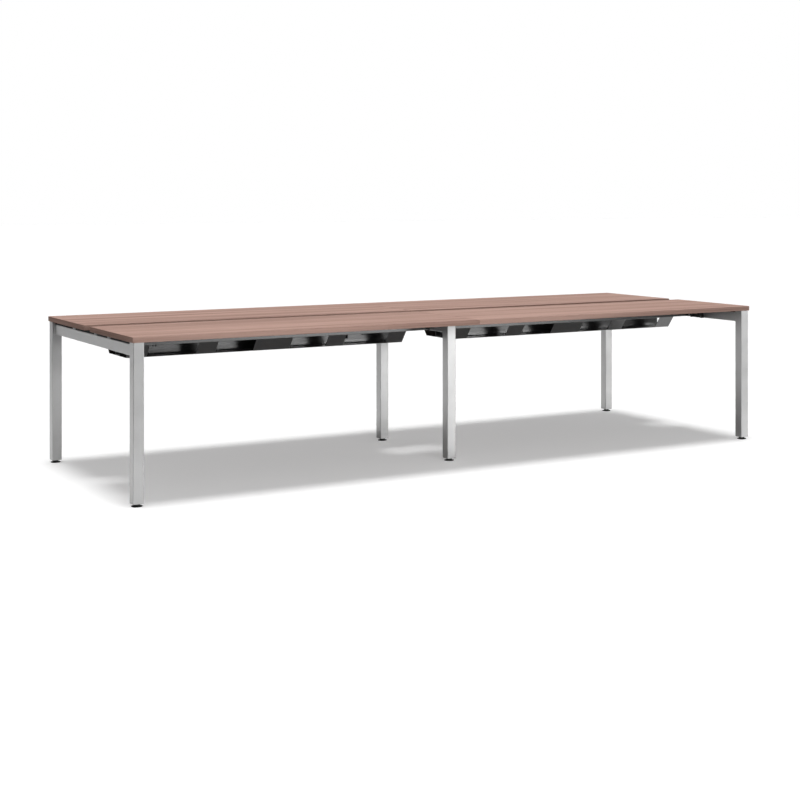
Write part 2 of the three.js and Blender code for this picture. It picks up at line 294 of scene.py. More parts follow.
def outline(width, height, radius, inset=0.0, steps=CORNER_STEPS, least=LEAST_CORNER):
    """Points round a rectangle with rolled corners, anticlockwise, set in from its sides."""
    corner = max(radius - inset, least)
    points = []
    for quarter, (sx, sy) in enumerate([(1, 1), (-1, 1), (-1, -1), (1, -1)]):
        for k in range(steps + 1):
            turn = (quarter + k / steps) * math.pi / 2
            points.append((sx * (width / 2 - inset - corner) + corner * math.cos(turn),
                           sy * (height / 2 - inset - corner) + corner * math.sin(turn)))
    return points


def rings_at(bm, levels, size, radius, place, **corners):
    """A ring of points round a (width, height) size for each (inset, distance along) level."""
    return [[bm.verts.new(place(a, b, along)) for a, b in outline(*size, radius, inset, **corners)]
            for inset, along in levels]


def skin(bm, rings, capped):
    """Joins each ring to the next; the end rings are capped, or else joined to each other."""
    for first, second in zip(rings, rings[1:] if capped else rings[1:] + rings[:1]):
        for k in range(len(first)):
            n = (k + 1) % len(first)
            bm.faces.new((first[k], first[n], second[n], second[k]))
    if capped:
        bm.faces.new(rings[0])
        bm.faces.new(rings[-1])


def hollow_bar(bm, size, radius, start, end, place, plate=0.0):
    """A tube of a (width, height) size from start to end, where a plate may close it."""
    levels = [(TUBE_WALL, end - plate), (TUBE_WALL, start), (EASE, start), (0.0, start + EASE),
              (0.0, end - EASE), (EASE, end)]
    skin(bm, rings_at(bm, levels, size, radius, place), capped=plate > 0)


silver = powder_coat("silver_powder_coat", SILVER_DEEP, SILVER,
                     roughness=0.33, metallic=0.92, ior=1.5, flake=0.35)

for spot in PLACES:
    low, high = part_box(f"leg_{spot}")
    centre = (low + high) / 2
    upright = placer((centre.x, centre.y, 0.0), X, Y, Z)
    size = (high.x - low.x, high.y - low.y)
    bm = bmesh.new()
    hollow_bar(bm, size, LEG_CORNER, low.z, high.z, upright, plate=LEG_PLATE)
    leg = piece(f"square_leg_{spot}", bm, "bench", "silver_paint", silver)
    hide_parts(f"leg_{spot}")


# Cross beams: 50 x 25 mm steel tube on edge between the legs of each frame, in the same silver coat.
# Each end is welded all round to its leg, and the coat covers the bead.
BEAM_CORNER = 0.002
BEAD = 0.0028
BEAD_BELLY = 0.62
BEAD_SUNK = 0.0004
BEAD_RIPPLE = 0.10
BEAD_PITCH = 0.0016
BEAD_STEPS_PER_PITCH = 3
BEAD_CORNER_STEPS = 10


def weld_bead(bm, size, radius, face, away, place):
    """A rippled fillet round a bar's end; face is where it meets the leg, away points along the bar."""
    points = outline(*size, radius, steps=BEAD_CORNER_STEPS)
    dense = []
    for (a, b), (c, d) in zip(points, points[1:] + points[:1]):
        count = max(1, round(math.hypot(c - a, d - b) / (BEAD_PITCH / BEAD_STEPS_PER_PITCH)))
        dense += [(a + (c - a) * i / count, b + (d - b) * i / count) for i in range(count)]
    half_a, half_b = size[0] / 2 - radius, size[1] / 2 - radius
    rings = []
    run = 0.0
    for k, (a, b) in enumerate(dense):
        if k:
            run += math.dist((a, b), dense[k - 1])
        out = Vector((a - max(-half_a, min(half_a, a)), b - max(-half_b, min(half_b, b)))).normalized()
        bead = BEAD * (1 + BEAD_RIPPLE * math.sin(2 * math.pi * run / BEAD_PITCH))
        section = [(-BEAD_SUNK, 0.0), (bead, 0.0), (bead * BEAD_BELLY, bead * BEAD_BELLY), (0.0, bead),
                   (-BEAD_SUNK, bead)]
        rings.append([bm.verts.new(place(a + out.x * o, b + out.y * o, face + away * t))
                      for o, t in section])
    skin(bm, rings, capped=False)


for name in ("end_beam_left", "middle_beam", "end_beam_right"):
    low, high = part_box(name)
    centre = (low + high) / 2
    crosswise = placer((centre.x, 0.0, centre.z), X, Z, Y)
    size = (high.x - low.x, high.z - low.z)
    bm = bmesh.new()
    hollow_bar(bm, size, BEAM_CORNER, low.y, high.y, crosswise)
    weld_bead(bm, size, BEAM_CORNER, low.y, 1, crosswise)
    weld_bead(bm, size, BEAM_CORNER, high.y, -1, crosswise)
    beam = piece(f"welded_{name}", bm, "bench", "silver_paint", silver)
    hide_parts(name)


# Long rails: 50 x 25 mm steel tube in black powder coat, between the middle beam and the end beams.
# A plate on each end is bolted to the beam with two hexagon bolts.
PLATE_THICKNESS = 0.003
PLATE_OVERHANG = 0.015
PLATE_CORNER = 0.003
WASHER_RADIUS, WASHER_SIDE = 0.008625, 0.0012
WASHER_TOP_RADIUS, WASHER_TOP = 0.007875, 0.0015
BOLT_HEAD_RADIUS = 0.0075
BOLT_HEAD_HEIGHT = 0.0053
BOLT_CROWN_RADIUS, BOLT_CROWN = 0.00645, 0.0008
BOLT_SUNK = 0.0005
BLACK = (0.012, 0.012, 0.0125)
BLACK_DEEP = (0.008, 0.008, 0.0085)


def slab(bm, size, radius, start, end, place):
    """A flat plate with rolled corners and eased edges."""
    step = EASE if end > start else -EASE
    levels = [(EASE, start), (0.0, start + step), (0.0, end - step), (EASE, end)]
    skin(bm, rings_at(bm, levels, size, radius, place), capped=True)


def hex_bolt(bm, place, material_index):
    """Hexagon bolt head on its washer; place takes (across, up, out from the seat)."""
    seat, crown = WASHER_TOP - BOLT_SUNK, BOLT_HEAD_HEIGHT + BOLT_CROWN
    washer = [(0, 0), (WASHER_RADIUS, 0), (WASHER_RADIUS, WASHER_SIDE),
              (WASHER_TOP_RADIUS, WASHER_TOP), (0, WASHER_TOP)]
    head = [(0, seat), (BOLT_HEAD_RADIUS, seat), (BOLT_HEAD_RADIUS, BOLT_HEAD_HEIGHT),
            (BOLT_CROWN_RADIUS, crown), (0, crown)]
    turned(bm, washer, ROUND_SIDES, place, material_index)
    turned(bm, head, HEXAGON_SIDES, place, material_index)


black_coat = powder_coat("black_powder_coat", BLACK_DEEP, BLACK,
                         roughness=0.24, metallic=0.0, ior=2.15, flake=0.1)

for row in ("front", "rear"):
    for side in ("left", "right"):
        low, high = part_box(f"rail_{row}_{side}")
        centre = (low + high) / 2
        lengthwise = placer((0.0, centre.y, centre.z), Y, Z, X)
        width, height = high.y - low.y, high.z - low.z
        bm = bmesh.new()
        hollow_bar(bm, (width, height), BEAM_CORNER, low.x, high.x, lengthwise)
        for face, away in ((low.x, 1), (high.x, -1)):
            front = face + away * PLATE_THICKNESS
            slab(bm, (width + 2 * PLATE_OVERHANG, height), PLATE_CORNER, face, front, lengthwise)
            for across in (-1, 1):
                offset = across * (width + PLATE_OVERHANG) / 2
                hex_bolt(bm, placer((front, centre.y + offset, centre.z), Y, Z, away * X), 1)
        rail = piece(f"plated_rail_{row}_{side}", bm, "bench", "black_paint", black_coat, zinc)
        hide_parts(f"rail_{row}_{side}")


# Top brackets: pressed steel angles with two cheeks in dull black, inside the end beams under the tops.
# Two button-head screws hold each one to its beam.
BRACKET_PLATE = 0.004
BRACKET_EASE = 0.0006
BRACKET_SCREWS = (-0.016, 0.010)
SCREW_RADIUS = 0.0048
SCREW_HEIGHT = 0.0026
SOCKET_RADIUS = 0.0022
SOCKET_FLOOR_RADIUS, SOCKET_FLOOR = 0.00198, 0.00091
SOCKET_MIDDLE = 0.00078


def button_screw(bm, place, material_index=0):
    """Domed screw head with a socket in it; place takes (across, up, out from the seat)."""
    turns = [i * math.pi / 8 for i in range(4)]
    head = [(0, 0)] + [(SCREW_RADIUS * math.cos(t), SCREW_HEIGHT * math.sin(t)) for t in turns]
    head += [(SOCKET_RADIUS, SCREW_HEIGHT), (SOCKET_FLOOR_RADIUS, SOCKET_FLOOR), (0, SOCKET_MIDDLE)]
    turned(bm, head, ROUND_SIDES, place, material_index)


dull_black = powder_coat("dull_black_coat", BLACK_DEEP, BLACK,
                         roughness=0.55, metallic=0.0, ior=1.45, flake=0.1)

for row in ("front", "rear"):
    for side, inward in (("left", 1), ("right", -1)):
        node = f"top_bracket_{row}_{side}"
        dress(node, dull_black, ease=BRACKET_EASE)
        low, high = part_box(node)
        centre = (low + high) / 2
        face = (low.x if inward > 0 else high.x) + inward * BRACKET_PLATE
        bm = bmesh.new()
        for up in BRACKET_SCREWS:
            button_screw(bm, placer((face, centre.y, centre.z + up), Y, Z, inward * X))
        piece(f"bracket_screws_{row}_{side}", bm, "bench", "black_paint", dull_black)


# Spacers: blocks moulded in pale grey plastic, which hold the tops clear of the beams and rails.
# Each has a screw through it into the underside of the top.
SPACER_EASE = 0.0008
PLASTIC_PALE = (0.52, 0.54, 0.54)
PLASTIC_PALE_DEEP = (0.42, 0.44, 0.44)

pale_plastic = moulded_plastic("pale_moulded_plastic", PLASTIC_PALE_DEEP, PLASTIC_PALE)
for node in sorted(nodes):
    if "spacer" in node:
        dress(node, pale_plastic, ease=SPACER_EASE)


# Painted shade strips: dull black strips along the end beams, from spacer to spacer, filling the gap
# above the beams up to the tops.
# They paint the shade that falls in that gap, and stand for no real part.
SHADE_STRIP_WIDTH = 0.015
SHADE_STRIP_INSET = 0.003
SHADE_STRIP_ROUND = 0.002
SHADE_STRIP_END_GAP = 0.004
# Near-black of the strips that paint the shade in the gap above the end beams.
SHADE_STRIP_BLACK = (0.009, 0.009, 0.009)
SHADE_STRIP_BLACK_DEEP = (0.004, 0.004, 0.004)


def shade_strip_finish(name, dark, light):
    """Dull near-black with fine pitted cells, used to paint shade."""
    material, add, shader = finish(name, light, roughness=0.85)
    place = add("ShaderNodeTexCoord").outputs["Object"]
    pits = cells(add, place, scale=900.0)
    drive(shader, Base_Color=tones(add, pits, [(0.1, dark), (0.7, light)]),
          Roughness=spread(add, pits, low=0.78, high=0.92),
          Normal=bumps(add, pits, distance=0.0003, strength=0.6))
    return material


shade_black = shade_strip_finish("painted_shade_black", SHADE_STRIP_BLACK_DEEP, SHADE_STRIP_BLACK)

for side, outward in (("left", -1), ("right", 1)):
    low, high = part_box(f"end_beam_{side}")
    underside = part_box(f"worktop_front_{side}")[0].z
    outer = low.x if outward < 0 else high.x
    middle = outer - outward * (SHADE_STRIP_INSET + SHADE_STRIP_WIDTH / 2)
    lie = placer((middle, 0.0, (high.z + underside) / 2), X, Z, Y)
    stops = [low.y, high.y]
    for node in nodes:
        if node.startswith("end_spacer") and node.endswith(side):
            stops += [corner.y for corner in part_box(node)]
    stops.sort()
    bm = bmesh.new()
    for start, end in zip(stops[::2], stops[1::2]):
        slab(bm, (SHADE_STRIP_WIDTH, underside - high.z), SHADE_STRIP_ROUND,
             start + SHADE_STRIP_END_GAP, end - SHADE_STRIP_END_GAP, lie)
    piece(f"painted_shade_strips_{side}", bm, "bench", "black_plastic", shade_black)


# Cable trays: one folded sheet of 2 mm steel for each bay, in black powder coat.
# The leaning sides are cut into windows down to the floor, and upright lips lie against the rails.
SHEET = 0.002
FOLD_RADIUS = 0.002
FOLD_STEPS = 8
SHEET_SHARP = 40.0
WINDOW_CORNER = 0.002
TRAY_BASE = 0.250
TRAY_WALL_RISE = 0.061
WINDOW_SILL = 0.0005
WINDOW_HEAD = 0.0015
TRAY_WINDOWS = [(-0.65, -0.40), (-0.30, -0.10), (0.10, 0.30), (0.40, 0.65)]
POINT_DIGITS = 6


def fold_line(corners):
    """Stations along a sheet's section, and the station that each flat starts at.

    A station is (distance, outer point, inner point). Every fold turns to the left, and the sheet
    lies to the left of the outer line.
    """
    stations, flats = [], []
    outer_radius = FOLD_RADIUS + SHEET
    for k, corner in enumerate(corners):
        here = Vector(corner)
        before = (here - Vector(corners[k - 1])).normalized() if k else None
        after = (Vector(corners[k + 1]) - here).normalized() if k < len(corners) - 1 else None
        if before and after:
            turn = math.atan2(before.x * after.y - before.y * after.x, before.dot(after))
            hub = (here - before * outer_radius * math.tan(turn / 2)
                   + Vector((-before.y, before.x)) * outer_radius)
            start = math.atan2(-before.x, before.y)
            angles = [start + turn * i / FOLD_STEPS for i in range(FOLD_STEPS + 1)]
            rays = [Vector((math.cos(angle), math.sin(angle))) for angle in angles]
            bend = [(hub + ray * outer_radius, hub + ray * FOLD_RADIUS) for ray in rays]
        else:
            along = after or before
            bend = [(here, here + Vector((-along.y, along.x)) * SHEET)]
        for outer, inner in bend:
            distance = stations[-1][0] + (outer - stations[-1][1]).length if stations else 0.0
            stations.append((distance, outer, inner))
        flats.append(len(stations) - 1)
    return stations, flats


def distance_at(stations, flat, height):
    """How far along the section a sloping or upright flat reaches a height."""
    (d0, p0, _), (d1, p1, _) = stations[flat], stations[flat + 1]
    return d0 + (d1 - d0) * (height - p0.y) / (p1.y - p0.y)


def sheet_solid(bm, stations, panels, place):
    """Folds flat panels of (along, distance) points into a solid sheet; place takes (along, y, z)."""
    skins = ({}, {})

    def key_of(point):
        return round(point[0], POINT_DIGITS), round(point[1], POINT_DIGITS)

    def vertex(side, point):
        key = key_of(point)
        if key not in skins[side]:
            for first, second in zip(stations, stations[1:]):
                if key[1] <= second[0] + 10 ** -POINT_DIGITS:
                    break
            share = (point[1] - first[0]) / (second[0] - first[0])
            section = first[1 + side].lerp(second[1 + side], share)
            skins[side][key] = bm.verts.new(place(point[0], *section))
        return skins[side][key]

    edges = {}
    for panel in panels:
        bm.faces.new([vertex(0, p) for p in panel])
        bm.faces.new([vertex(1, p) for p in reversed(panel)])
        for a, b in zip(panel, panel[1:] + panel[:1]):
            edges[key_of(a), key_of(b)] = (a, b)
    for (a, b), (p, q) in edges.items():
        if (b, a) not in edges:
            bm.faces.new((vertex(0, q), vertex(0, p), vertex(1, p), vertex(1, q)))


def corner_arc(x, s, radius, start):
    """A quarter turn of a cut's rounded corner about (x, s)."""
    turns = [start + i * math.pi / 8 for i in range(5)]
    return [(x + radius * math.cos(turn), s + radius * math.sin(turn)) for turn in turns]


for side in ("left", "right"):
    low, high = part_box(f"cable_tray_{side}")
    centre = (low + high) / 2
    half = (high.x - low.x) / 2
    lip, rise = high.y, high.z - low.z
    stations, flats = fold_line([(-lip, rise), (-lip, TRAY_WALL_RISE), (-TRAY_BASE / 2, 0),
                                 (TRAY_BASE / 2, 0), (lip, TRAY_WALL_RISE), (lip, rise)])
    walls = (flats[1], flats[3])
    window_heights = (TRAY_WALL_RISE - WINDOW_HEAD, SHEET + WINDOW_SILL)
    cuts = sorted({-half, half, *(edge for window in TRAY_WINDOWS for edge in window)})
    panels = []
    r = WINDOW_CORNER
    for index in range(len(stations) - 1):
        upper, lower = stations[index][0], stations[index + 1][0]
        if index in walls:
            top, bottom = sorted(distance_at(stations, index, height) for height in window_heights)
            t, b = top + r, bottom - r
        for x0, x1 in zip(cuts, cuts[1:]):
            if index not in walls:
                panels.append([(x0, upper), (x0, lower), (x1, lower), (x1, upper)])
            elif (x0, x1) in TRAY_WINDOWS:
                panels.append([(x0, upper), (x0, t)] + corner_arc(x0 + r, t, r, math.pi)[1:]
                              + corner_arc(x1 - r, t, r, 1.5 * math.pi) + [(x1, upper)])
                panels.append([(x0, lower), (x1, lower), (x1, b)] + corner_arc(x1 - r, b, r, 0)[1:]
                              + corner_arc(x0 + r, b, r, 0.5 * math.pi))
            else:
                left = [(x0, t), (x0, b)] if x0 > -half else []
                right = [(x1, b), (x1, t)] if x1 < half else []
                panels.append([(x0, upper)] + left + [(x0, lower), (x1, lower)] + right + [(x1, upper)])
    bm = bmesh.new()
    sheet_solid(bm, stations, panels, placer((centre.x, 0.0, low.z), X, Y, Z))
    tray = piece(f"folded_tray_{side}", bm, "bench", "black_paint", black_coat, sharp=SHEET_SHARP)
    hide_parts(f"cable_tray_{side}")


# Tray dividers: U channels folded from the same black sheet, which stand on the trays' floors.
# Pairs of holes near the ends take cable ties, and each wall has one outlet, open at the top.
TIE_HOLE_RADIUS = 0.004
TIE_HOLE_HEIGHT = 0.0385
TIE_HOLE_FROM_END = 0.175
TIE_HOLE_PITCH = 0.015
OUTLET = (0.423, 0.483)
OUTLET_SILL = 0.022

for side in ("left", "right"):
    low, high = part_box(f"tray_divider_{side}")
    centre = (low + high) / 2
    half, width, rise = (high.x - low.x) / 2, high.y, high.z - low.z
    stations, flats = fold_line([(-width, rise), (-width, 0), (width, 0), (width, rise)])
    pair_from_middle = half - TIE_HOLE_FROM_END
    holes = [end * (pair_from_middle + step * TIE_HOLE_PITCH / 2) for end in (-1, 1) for step in (-1, 1)]
    hole_edges = [hole + edge * TIE_HOLE_RADIUS for hole in holes for edge in (-1, 1)]
    outlets = {flats[0]: OUTLET, flats[2]: (-OUTLET[1], -OUTLET[0])}
    cuts = sorted({-half, half, *hole_edges, *outlets[flats[0]], *outlets[flats[2]]})
    panels = []
    for index in range(len(stations) - 1):
        upper, lower = stations[index][0], stations[index + 1][0]
        in_wall = index in outlets
        if in_wall:
            level = distance_at(stations, index, TIE_HOLE_HEIGHT)
            sill = distance_at(stations, index, OUTLET_SILL)
            marks = {**{x: level for x in hole_edges}, **{x: sill for x in outlets[index]}}
        for x0, x1 in zip(cuts, cuts[1:]):
            middle = (x0 + x1) / 2
            if not in_wall:
                panels.append([(x0, upper), (x0, lower), (x1, lower), (x1, upper)])
            elif (x0, x1) == outlets[index]:
                near, far = (sill, lower) if index == flats[0] else (upper, sill)
                panels.append([(x0, near), (x0, far), (x1, far), (x1, near)])
            elif any(abs(middle - hole) < 10 ** -POINT_DIGITS for hole in holes):
                arc = [(middle - TIE_HOLE_RADIUS * math.cos(i * math.pi / 8),
                        TIE_HOLE_RADIUS * math.sin(i * math.pi / 8)) for i in range(9)]
                panels.append([(x0, upper)] + [(x, level - s) for x, s in arc] + [(x1, upper)])
                panels.append([(x0, lower), (x1, lower)] + [(x, level + s) for x, s in reversed(arc)])
            else:
                left = [(x0, marks[x0])] if x0 in marks else []
                right = [(x1, marks[x1])] if x1 in marks else []
                panels.append([(x0, upper)] + left + [(x0, lower), (x1, lower)] + right + [(x1, upper)])
    bm = bmesh.new()
    sheet_solid(bm, stations, panels, placer((centre.x, 0.0, low.z), X, Y, Z))
    divider = piece(f"folded_divider_{side}", bm, "bench", "black_paint", black_coat, sharp=SHEET_SHARP)
    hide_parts(f"tray_divider_{side}")


# Clamp strips: flat steel bars in black powder coat, screwed through the trays' lips into the rails.
# A button-head screw sits above the middle of each tab of the tray.
STRIP_CORNER = 0.002
STRIP_SCREWS = (-0.70, -0.35, 0.0, 0.35, 0.70)

for row, outward in (("front", -1), ("rear", 1)):
    for side in ("left", "right"):
        node = f"clamp_strip_{row}_{side}"
        low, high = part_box(node)
        centre = (low + high) / 2
        seat, face = (high.y, low.y) if outward < 0 else (low.y, high.y)
        size = (high.x - low.x, high.z - low.z)
        bm = bmesh.new()
        slab(bm, size, STRIP_CORNER, seat, face, placer((centre.x, 0.0, centre.z), X, Z, Y))
        for along in STRIP_SCREWS:
            button_screw(bm, placer((centre.x + along, face, centre.z), X, Z, outward * Y), 1)
        strip = piece(f"screwed_strip_{row}_{side}", bm, "bench", "black_paint", black_coat, zinc)
        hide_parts(node)


# Worktops: 25 mm chipboard with a wood-grain laminate, its grain running along the bench.
# The laminate's edges are eased a little where they meet the edge band.
LAMINATE_EASE = 0.00025
WOOD_LIGHT = (0.580, 0.379, 0.317)
WOOD_MIDDLE = (0.470, 0.299, 0.248)
WOOD_DARK = (0.335, 0.202, 0.163)
PORE_SHADE = (0.72, 0.66, 0.62, 1.0)
GLOSS = 0.06
FACING = 0.7
GRAIN_SHIFTS = {"front_left": (0.0, 0.0), "front_right": (7.3, 3.1),
                "rear_left": (13.7, 5.9), "rear_right": (21.1, 8.3)}


def wood_grain(name):
    """Printed wood: bands, strands, fine fibres and short dark pores, under a satin wear layer."""
    material, add, shader = finish(name, WOOD_MIDDLE, roughness=0.58)
    shader.inputs["Specular IOR Level"].default_value = GLOSS
    where = add("ShaderNodeUVMap", {"uv_map": "grain"}).outputs["UV"]

    def streaks(along, across, detail, waviness):
        stretched = add("ShaderNodeMapping", {"Scale": (along, across, 1.0)}, Vector=where)
        values = {"Scale": 1.0, "Detail": detail, "Distortion": waviness}
        return add("ShaderNodeTexNoise", values, Vector=stretched.outputs["Vector"]).outputs["Fac"]

    bands = streaks(along=0.45, across=14.0, detail=2.0, waviness=0.12)
    strands = streaks(along=1.1, across=58.0, detail=3.0, waviness=0.10)
    fibres = streaks(along=4.0, across=280.0, detail=4.0, waviness=0.10)
    pores = streaks(along=36.0, across=1500.0, detail=2.0, waviness=0.0)
    broad = add("ShaderNodeMix", {"Factor": 0.40}, A=bands, B=strands).outputs["Result"]
    figure = add("ShaderNodeMix", {"Factor": 0.26}, A=broad, B=fibres).outputs["Result"]
    print_tone = tones(add, figure, [(0.39, WOOD_DARK), (0.50, WOOD_MIDDLE), (0.61, WOOD_LIGHT)])
    pitted = add("ShaderNodeMapRange", {"From Min": 0.62, "From Max": 0.74}, Value=pores)
    darker = add("ShaderNodeMix", {"data_type": "RGBA", "blend_type": "MULTIPLY", "B": PORE_SHADE},
                 Factor=pitted.outputs["Result"], A=print_tone)
    drive(shader, Base_Color=darker.outputs["Result"],
          Roughness=spread(add, fibres, low=0.56, high=0.70),
          Normal=bumps(add, pores, distance=-0.00004, strength=0.35))
    return material


def lay_grain(obj, shift):
    """Lays the print along each face, in metres: along the bench, or along the edge at the ends."""
    layer = obj.data.uv_layers.new(name="grain")
    for polygon in obj.data.polygons:
        at_end = abs(polygon.normal.x) > FACING
        level = abs(polygon.normal.z) > FACING
        for corner in polygon.loop_indices:
            point = obj.data.vertices[obj.data.loops[corner].vertex_index].co
            along = point.y if at_end else point.x
            across = point.y if level else point.z
            layer.data[corner].uv = (along + shift[0], across + shift[1])


wood = wood_grain("wood_grain_laminate")

for spot, shift in GRAIN_SHIFTS.items():
    low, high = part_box(f"worktop_{spot}")
    levels = [(LAMINATE_EASE, low.z), (0.0, low.z + LAMINATE_EASE),
              (0.0, high.z - LAMINATE_EASE), (LAMINATE_EASE, high.z)]
    bm = bmesh.new()
    rings = []
    for inset, level in levels:
        left, right = low.x + inset, high.x - inset
        front, back = low.y + inset, high.y - inset
        corners = [(left, front), (right, front), (right, back), (left, back)]
        rings.append([bm.verts.new((x, y, level)) for x, y in corners])
    skin(bm, rings, capped=True)
    board = piece(f"laminated_board_{spot}", bm, "bench", "wood_board", wood)
    lay_grain(board, shift)
    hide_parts(f"worktop_{spot}")


# Edge bands: 2 mm plastic strip with the same printed grain, glued round each board.
# Its outer edges are milled to a small radius.
BAND_INNER = 0.0019375
BAND_ROUND = 0.0012
BAND_CORNER = 0.002
BAND_CORNER_STEPS = 5
BAND_INNER_CORNER = 0.0002
BAND_SHIFT = (2.0, 1.0)

for spot, shift in GRAIN_SHIFTS.items():
    low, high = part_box(f"edge_band_{spot}")
    centre = (low + high) / 2
    size = (high.x - low.x, high.y - low.y)
    levels = [(BAND_INNER, low.z), *rounded(BAND_ROUND, low.z, high.z), (BAND_INNER, high.z)]
    wrap = placer((centre.x, centre.y, 0.0), X, Y, Z)
    bm = bmesh.new()
    rings = rings_at(bm, levels, size, BAND_CORNER, wrap,
                     steps=BAND_CORNER_STEPS, least=BAND_INNER_CORNER)
    skin(bm, rings, capped=False)
    band = piece(f"milled_band_{spot}", bm, "bench", "wood_edge", wood)
    lay_grain(band, (shift[0] + BAND_SHIFT[0], shift[1] + BAND_SHIFT[1]))
    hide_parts(f"edge_band_{spot}")


# Studio: a pale floor that runs to a white backdrop, and a broad lamp high over the bench.
# A soft box stands to the front right, and a low card and a fill lamp before the bench.
# The room in front is dim, and metal and gloss mirror the floor and the backdrop.
FLOOR_SIZE = 120.0
FLOOR_GLOW = 0.298
FLOOR_SEEN = 0.785
FLOOR_MIRRORED = 1.0
FLOOR_FRONT_DIM, FLOOR_FRONT_FROM, FLOOR_FRONT_TO = 0.15, -0.8, -4.5
FLOOR_BACK_DIM, FLOOR_BACK_FROM, FLOOR_BACK_TO = 0.62, 1.8, 6.5
FLOOR_BOUNCE = 0.16
LAMP_LEVEL = 0.72
LAMP_SPREAD = 17.0
LAMP_LEAN = (0.015, 0.012, -0.72)
LAMP_HEIGHT = 4.0
BOX_PLACE = (8.0, -10.8, 5.2)
BOX_AIM = (0.0, -0.3, 0.5)
BOX_SIZE = (6.5, 6.5)
BOX_LEVEL = 17.0
CARD_PLACE = (2.65, -5.8, 0.43)
CARD_AIM = (0.0, 0.0, 0.6)
CARD_SIZE = (3.8, 0.86)
CARD_LEVEL = 3.0
FILL_PLACE = (-0.5, -4.4, 1.2)
FILL_AIM = (-0.4, -0.6, 0.7)
FILL_SIZE = (2.4, 1.6)
FILL_LEVEL = 6.0
ROOM_FRONT = (0.0, -1.0, 0.0)
ROOM_LEFT = (-1.0, 0.0, 0.0)
ROOM_LIT_SIDE = (-1.0, -0.3, 0.2)
ROOM_EVEN = 0.19
ROOM_BRIGHT = 0.17
ROOM_NARROWING = 2.0
ROOM_DIM, ROOM_DIM_FROM, ROOM_DIM_TO = 0.10, 0.0, 0.5
BACKDROP_LOW = 0.70
BACKDROP_TOP, BACKDROP_TOP_FROM, BACKDROP_TOP_TO = 0.45, 0.16, 0.60
BACKDROP_LEFT, BACKDROP_LEFT_FROM, BACKDROP_LEFT_TO = 0.30, 0.50, 0.75
WHITE = (1.0, 1.0, 1.0, 1.0)


def worked(add, operation, first, second):
    """The result of an operation on two values, each a socket or a plain number."""
    node = add("ShaderNodeMath", {"operation": operation})
    for socket, value in zip(node.inputs, (first, second)):
        if isinstance(value, float):
            socket.default_value = value
        else:
            node.id_data.links.new(value, socket)
    return node.outputs["Value"]


def ray_is(add, *kinds):
    """1 where the ray that meets the surface is one of the given kinds, and 0 elsewhere."""
    path = add("ShaderNodeLightPath")
    total = path.outputs[f"Is {kinds[0]} Ray"]
    for kind in kinds[1:]:
        total = worked(add, "MAXIMUM", total, path.outputs[f"Is {kind} Ray"])
    return total


def fading(add, value, start, end, low, high):
    """A smooth change from low to high as a value goes from start to end."""
    values = {"interpolation_type": "SMOOTHSTEP", "From Min": start, "From Max": end,
              "To Min": low, "To Max": high}
    return add("ShaderNodeMapRange", values, Value=value).outputs["Result"]


def by_ray(add, lighting, mirrored, seen):
    """One shader for rays that light other things, one for mirrored rays and one for the camera's."""
    unseen = add("ShaderNodeMixShader", Fac=ray_is(add, "Glossy", "Transmission"))
    whole = add("ShaderNodeMixShader", Fac=ray_is(add, "Camera"))
    links = unseen.id_data.links
    links.new(lighting, unseen.inputs[1])
    links.new(mirrored, unseen.inputs[2])
    links.new(unseen.outputs["Shader"], whole.inputs[1])
    links.new(seen, whole.inputs[2])
    return whole.outputs["Shader"]


reach = FLOOR_SIZE / 2
floor_corners = [(-reach, -reach, 0), (reach, -reach, 0), (reach, reach, 0), (-reach, reach, 0)]
floor_mesh = bpy.data.meshes.new("studio_floor")
floor_mesh.from_pydata(floor_corners, [], [(0, 1, 2, 3)])
floor = bpy.data.objects.new("studio_floor", floor_mesh)
bpy.context.scene.collection.objects.link(floor)
paper = bpy.data.materials.new("pale_floor")
paper.use_nodes = True
paper.node_tree.nodes.clear()
add = adder(paper.node_tree)
lit = add("ShaderNodeBsdfDiffuse", {"Color": (FLOOR_SEEN, FLOOR_SEEN, FLOOR_SEEN, 1.0)})
glow = add("ShaderNodeEmission", {"Strength": FLOOR_GLOW})
both = add("ShaderNodeAddShader")
paper.node_tree.links.new(lit.outputs["BSDF"], both.inputs[0])
paper.node_tree.links.new(glow.outputs["Emission"], both.inputs[1])
bounce = add("ShaderNodeBsdfDiffuse", {"Color": (FLOOR_BOUNCE, FLOOR_BOUNCE, FLOOR_BOUNCE, 1.0)})
# In metal and gloss the floor is white round the bench and dims towards the front and back of the room
position = add("ShaderNodeSeparateXYZ", Vector=add("ShaderNodeTexCoord").outputs["Object"])
depth = position.outputs["Y"]
to_front = fading(add, depth, FLOOR_FRONT_FROM, FLOOR_FRONT_TO, FLOOR_MIRRORED, FLOOR_FRONT_DIM)
to_back = fading(add, depth, FLOOR_BACK_FROM, FLOOR_BACK_TO, 1.0, FLOOR_BACK_DIM)
mirrored = add("ShaderNodeBsdfDiffuse", Color=worked(add, "MULTIPLY", to_front, to_back))
add("ShaderNodeOutputMaterial",
    Surface=by_ray(add, bounce.outputs["BSDF"], mirrored.outputs["BSDF"], both.outputs["Shader"]))
floor_mesh.materials.append(paper)

room = bpy.data.worlds.new("studio_room")
bpy.context.scene.world = room
room.use_nodes = True
room.node_tree.nodes.clear()
add = adder(room.node_tree)
direction = add("ShaderNodeTexCoord").outputs["Generated"]


def towards(aim):
    """How far the direction points towards an aim: 1 straight at it, 0 across, -1 away."""
    facing = add("ShaderNodeVectorMath", {"operation": "DOT_PRODUCT"}, Vector=direction)
    facing.inputs[1].default_value = Vector(aim).normalized()
    return facing.outputs["Value"]


